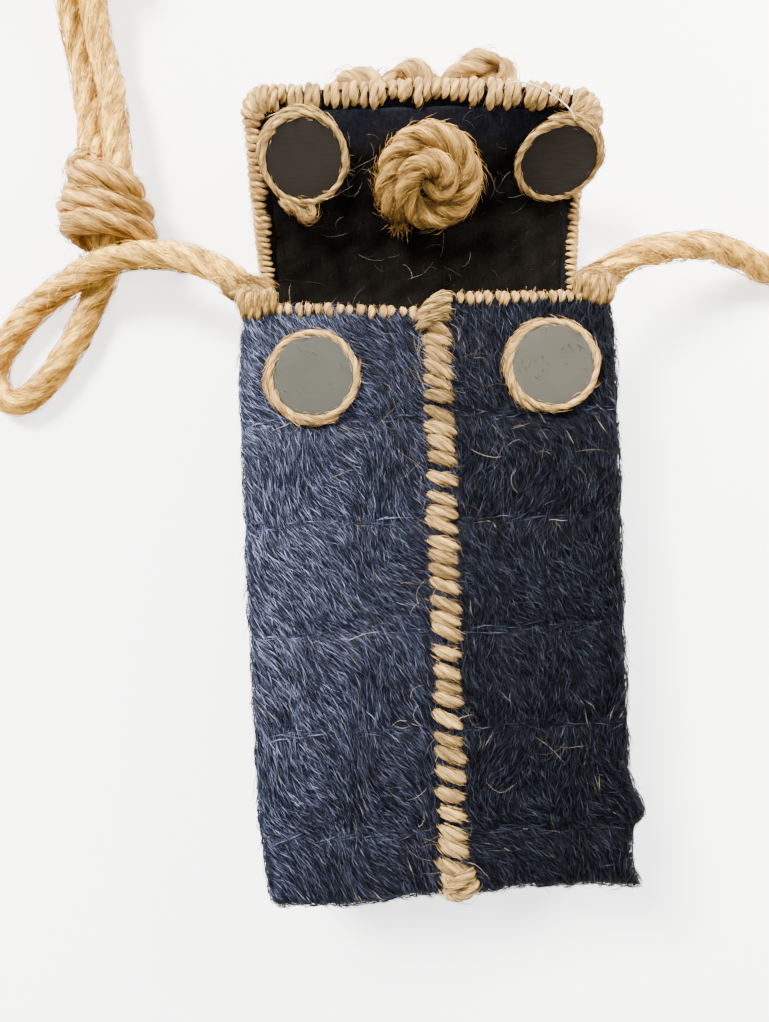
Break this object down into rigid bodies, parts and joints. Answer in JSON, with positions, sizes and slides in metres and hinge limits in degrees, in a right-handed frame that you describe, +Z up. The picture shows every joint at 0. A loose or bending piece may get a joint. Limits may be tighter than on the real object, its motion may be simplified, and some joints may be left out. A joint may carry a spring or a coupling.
{
  "type": "jute crossbody pouch with a flap and rope strap",
  "caption": "Small tall pouch of jute-covered boards with an overcast seam, an open flap with magnet discs and a coil, and a rope strap set by sliding knots.",
  "frame": {"origin": "the middle of the back's resting face, midway between the base and the mouth", "axes": "+Z up out of the front, +Y along the pouch to its mouth and open flap, +X to the right as seen from the front"},
  "size_m": [0.3419, 0.5096, 0.049],
  "materials": {
    "navy_jute": "navy-dyed jute yarn laid in fuzzy rows over stiff board",
    "natural_jute": "natural jute yarn, twisted, with loose fibres",
    "black_lining": "matt black felt lining",
    "grey_disc": "matt dark grey magnet disc",
    "strap_rope": "soft-laid natural jute rope with loose fibres"
  },
  "bodies": {
    "root": {"back_and_flap": "navy_jute", "side_left": "navy_jute", "side_right": "navy_jute", "base_board": "navy_jute", "front_left": "navy_jute", "front_right": "navy_jute", "front_seam": "natural_jute", "mouth_binding_left": "natural_jute", "mouth_binding_right": "natural_jute", "flap_binding": "natural_jute", "flap_lining": "black_lining", "disc_front_left": "grey_disc", "disc_front_right": "grey_disc", "disc_flap_left": "grey_disc", "disc_flap_right": "grey_disc", "ring_front_left": "natural_jute", "ring_front_right": "natural_jute", "ring_flap_left": "natural_jute", "ring_flap_right": "natural_jute", "flap_coil": "natural_jute", "flap_flower": "natural_jute", "rope_stay_left": "strap_rope", "rope_stay_right": "strap_rope", "strap_left": "strap_rope", "strand_left": "strap_rope", "strand_right": "strap_rope", "strap_right": "strap_rope", "strap_knot_lower": "strap_rope", "strap_knot_upper": "strap_rope"}
  },
  "joints": []
}
